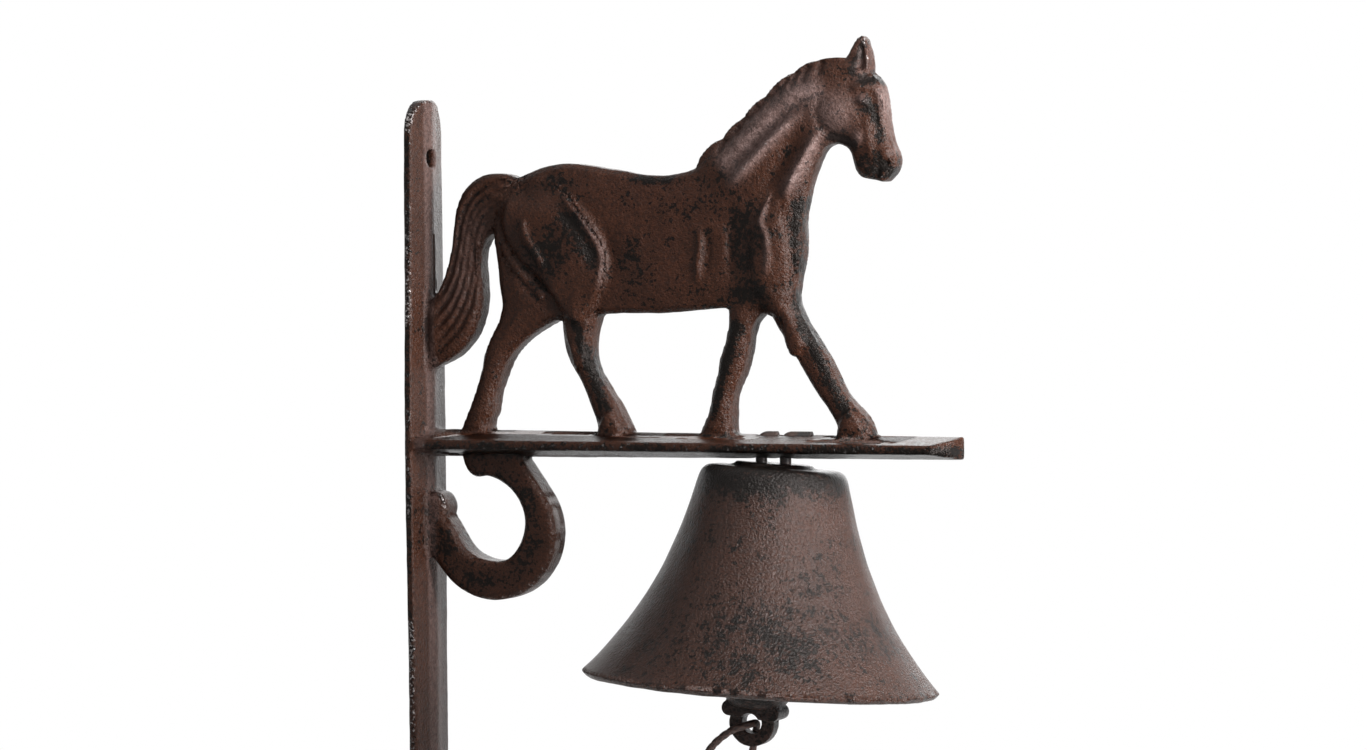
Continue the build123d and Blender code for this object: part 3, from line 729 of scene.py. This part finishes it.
# %% [markdown]
# ## Where the paint has rubbed off, and where glints are painted
# A convex place stands higher than its neighbours. Comparing each point with the points around it, along
# its normal, gives a number that is high on ridges and low in hollows. Averaging it over a few rings of
# neighbours makes broad worn strips in place of single bright points, and dividing by the local spacing of
# the points keeps it even where the skin is finer. The arm's tip is calmed, because its sharp corners would
# turn all white.

# %% Ridge attribute
compared_rings = 4
arm_tip = 156
tip_calm = 0.6


def mark_ridges(mesh, gain, calm=0.0):
    places, facing, ends = mesh_arrays(mesh)
    middle = places
    for _ in range(compared_rings):
        middle = np.column_stack([ring_mean(column, ends) for column in middle.T])
    ridge = ((places - middle) * facing).sum(axis=1)
    for _ in range(2):
        ridge = ring_mean(ridge, ends)
    steps = np.linalg.norm(places[ends[:, 0]] - places[ends[:, 1]], axis=1)
    spacing = np.bincount(ends.ravel(), np.repeat(steps, 2)) / np.bincount(ends.ravel()).clip(1)
    ridge = np.clip(ridge / spacing * gain * (1 - calm), -1, 1)
    store(mesh, "ridge", ridge)
    return ridge


bracket_ridge = mark_ridges(bracket.data, 1.35, tip_calm * (flat[:, 0] > arm_tip))
print("worn share:", round(float((bracket_ridge > 0.3).mean()), 3))

# %% [markdown]
# ## Where the black and the painted shade go, and where the painted highlight goes
# These two masks are painted with the same strokes and dabs as the carving. The black mask lies in hollows,
# down the legs, on the horseshoe and along the edges of arm and plate: partly the black undercoat showing,
# partly painted shade in hollows and on faces turned from the light. The pale mask is painted highlight,
# most of all along the neck and on the face.

# %% Black and painted shade of the bracket
def figure_black_and_shade(flat):
    # Partly the black undercoat, partly painted shade in hollows and on faces turned from the light.
    # Shoulder, haunch, croup and back.
    dark = dab(flat, (104.5, 82), (5.5, 12), 0.8)
    dark += dab(flat, (108, 66), (8, 3), 0.9)
    dark += stroke(flat, [(45, 93), (51, 87), (55, 81.5), (57.4, 75), (57, 68)], 3.0, 0.9)
    dark += dab(flat, (44, 77), (9, 8), 0.75)
    dark += dab(flat, (46, 97), (9, 3), 0.7)
    dark += stroke(flat, [(66, 99.5), (76, 98.5), (86, 99)], 1.6, 0.8)
    # Groove by the nose, muzzle, brow, pupil, socket, lips, jaw and ear.
    dark += stroke(flat, [(142.4, 119.6), (143.2, 113.4), (145, 107.6)], 1.3, 0.9, 0.1)
    dark += dab(flat, (142.6, 102), (5.5, 4.5), 0.7)
    dark += dab(flat, (140.6, 125.6), (3.6, 1.6), 1.3)
    dark += dab(flat, (140.3, 119.8), (1.0, 0.9), 1.4)
    dark += dab(flat, (141.2, 117.4), (2.4, 1.6), 0.8)
    dark += dab(flat, (145.6, 100), (4, 2.2), 0.9)
    dark += stroke(flat, [(128.4, 110.6), (133, 109), (138, 106)], 1.4, 0.9, 0.1)
    dark += stroke(flat, [(135.4, 127), (137.2, 132), (139, 137)], 0.9, 0.9, 0.05)
    # Chest, flank and legs.
    dark += stroke(flat, [(121, 99), (119, 88), (119, 80), (119, 72), (117, 66)], 1.7, 1.0)
    dark += dab(flat, (69, 74), (5, 8), 0.6)
    dark += stroke(flat, [(51, 60), (53, 51), (57.4, 39), (61.5, 30)], 1.5, 1.3, 0.1)
    dark += stroke(flat, [(118, 68), (120.4, 58), (124.8, 48), (129.8, 38.5), (135, 30)], 1.8, 1.3, 0.1)
    dark += stroke(flat, [(102, 60), (98, 48), (95.4, 38.5), (93.4, 30)], 1.8, 1.2, 0.1)
    # Edge of the arm, back of the plate and the horseshoe.
    # The dark band along the arm is painted shade.
    dark += stroke(flat, [(8, 21.5), (165, 21.5)], 2.6, 1.0, 0)
    dark += 0.8 * (flat[:, 0] < 1.9)
    dark += stroke(flat, [(20, 14), (34, 8), (38, -4), (30, -16), (18, -17), (8, -6)], 5.0, 0.6, 0)
    return dark.clip(0, 1)


bracket_black_and_shade = figure_black_and_shade(flat)
store(bracket.data, "black_and_shade", bracket_black_and_shade)
print("blackened share:", round(float((bracket_black_and_shade > 0.3).mean()), 3))

# %% Painted highlight of the bracket
def figure_painted_highlight(flat):
    # A pale tint painted on as highlight, on the parts that catch the light.
    # Neck.
    pale = stroke(flat, neck_crest, 4.2, 1.0, 0.1)
    pale += stroke(flat, neck_muscle, 1.7, 0.8)
    pale += stroke(flat, throat_muscle, 1.8, 1.0)
    # Cheek, ear, nose, jaw, eye and nostril.
    pale += dab(flat, (130.8, 115.8), (5, 6), 0.8)
    pale += dab(flat, (138.5, 131), (2.5, 6), 0.35)
    pale += stroke(flat, nose_ridge, 1.1, 0.8, 0.1)
    pale += dab(flat, (137.9, 109.6), (1.8, 1.8), 0.6)
    pale += dab(flat, (139, 120.2), (1.4, 1.2), 0.9)
    pale += dab(flat, (149, 105.8), (1.5, 1.3), 0.7)
    # Edges of shoulder and haunch, and the tail.
    pale += stroke(flat, [(112, 95.5), (109.2, 86.4), (111.2, 81.6), (111, 70)], 0.9, 0.5)
    pale += stroke(flat, [(52, 91.2), (59.4, 81), (61, 74), (59.5, 66)], 1.1, 0.3)
    pale += stroke(flat, [(24, 94), (17, 82), (15, 70), (9, 58)], 5.0, 0.2)
    # Front of the plate.
    pale += 0.45 * ((flat[:, 0] > 3.4) & (flat[:, 0] < 7))
    return pale.clip(0, 1)


bracket_painted_highlight = figure_painted_highlight(flat)
store(bracket.data, "painted_highlight", bracket_painted_highlight)
bracket.data.materials.append(iron_paint)
bracket.data.shade_smooth()
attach(bracket, "bracket")
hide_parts("bracket_casting")
print("dulled share:", round(float((bracket_painted_highlight > 0.3).mean()), 3))

# %% [markdown]
# ## Bell and clapper
# The bell and the clapper are castings too, and get a recast skin as the bracket did, with a finer voxel.
# They are plain, smooth shapes, so nothing is carved and only slow unevenness is added. Their paint is a
# little glossier, with a deeper peel and no painted highlight. The black mask darkens the bell's crown, low
# on its front, and the clapper.

# %% Bell and clapper
lump_wave = 0.12
crown_foot = 7
crown_rise = 7


def cast_smooth(node, name, voxel, body, lumps, black_and_shade_base):
    cast = recast(node, name, voxel)
    places, facing, _ = mesh_arrays(cast.data)
    for i, place in enumerate(places):
        places[i] = place + facing[i] * noise.noise(Vector(place) * lump_wave) * lumps
    move_points(cast.data, places)
    mark_ridges(cast.data, 1.2 * voxel / MM)
    # Darker round the crown, low on the front, and all over the clapper.
    crown = np.clip((places[:, 2] - crown_foot) / crown_rise, 0, 1)
    low_front = dab(places[:, [0, 2]], (126, -30), (17, 11), 0.45) * (places[:, 1] < 0)
    store(cast.data, "black_and_shade", (black_and_shade_base + crown + low_front).clip(0, 1))
    cast.data.materials.append(bell_paint)
    cast.data.shade_smooth()
    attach(cast, body)
    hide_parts(node)
    print(name, len(cast.data.polygons), "faces")


cast_smooth("bell", "bell_cast", 0.8 * MM, "bell", 0.2, 0.15)
cast_smooth("clapper", "clapper_cast", 0.42 * MM, "clapper", 0.08, 0.5)

# %% [markdown]
# ## Staple and link
# The wire pieces keep their CAD meshes, which are already round and smooth. Only their finish changes.

# %% Wire pieces
for node in ("hanger_staple", "clapper_link"):
    wire_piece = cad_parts[node]
    wire_piece.data.materials.clear()
    wire_piece.data.materials.append(wire_paint)
    print(node, "in", wire_paint.name)

# %% [markdown]
# ## Floor
# The photo shows no floor, so a pale floor card lies well below the cord, under the picture's lower edge.
# Views from higher up show it.

# %% Floor
floor_gap = 0.15
bpy.ops.object.select_all(action="DESELECT")
bpy.ops.mesh.primitive_plane_add(size=0.9, location=(0.08, 0, cad_low.z - floor_gap))
floor = bpy.context.object
floor.name = "studio_floor"
floor_finish, floor_shader, _ = new_finish("floor_card")
floor_shader.inputs["Base Color"].default_value = (0.82, 0.82, 0.81, 1)
floor_shader.inputs["Roughness"].default_value = 0.8
floor.data.materials.append(floor_finish)
print("floor at", round(cad_low.z - floor_gap, 3), "m")

# %% [markdown]
# ## Lamps and background
# Four soft area lamps light the bell. The key lamp, out to the right, draws the long highlight down the
# bell. A small one near the horse's head lifts the face, a broad one hangs above, and one behind rims the
# far side. The world gives only a little light. The camera, reflections and glass see it as plain white.

# %% Lamps
lamp_target = Vector((0.085, 0, 0.03))


def add_lamp(name, direction, distance, size, power):
    place = lamp_target + Vector(direction).normalized() * distance
    bpy.ops.object.light_add(type="AREA", location=place)
    lamp = bpy.context.object
    lamp.name = name
    lamp.rotation_mode = "QUATERNION"
    lamp.rotation_quaternion = (place - lamp_target).to_track_quat("Z", "Y")
    lamp.data.size = size
    lamp.visible_camera = False
    lamp.data.energy = power
    print(name, power, "W")


add_lamp("key_lamp", (0.96, -0.25, 0.22), 0.45, 0.2, 8.0)
add_lamp("head_lamp", (0.165, -0.14, 0.19), 0.29, 0.12, 0.5)
add_lamp("top_lamp", (-0.1, -0.5, 1.0), 1.0, 0.6, 2.0)
add_lamp("back_lamp", (-0.2, 1.0, 0.3), 0.8, 0.5, 1.6)

# %% Background
world_light = 0.1
world = bpy.data.worlds.new("studio_world")
bpy.context.scene.world = world
world.use_nodes = True
sky = Wire(world.node_tree)
seen = sky.make("ShaderNodeLightPath", output="Is Camera Ray")
for ray in ("Is Glossy Ray", "Is Transmission Ray"):
    seen = seen + sky.make("ShaderNodeLightPath", output=ray)
background = world.node_tree.nodes["Background"]
background.inputs["Color"].default_value = (1, 1, 1, 1)
sky.plug(world_light + (1 - world_light) * seen.step(0, 1), background.inputs["Strength"])
bpy.context.scene.view_settings.view_transform = "Standard"
print("world gives", world_light, "of the light that it shows")
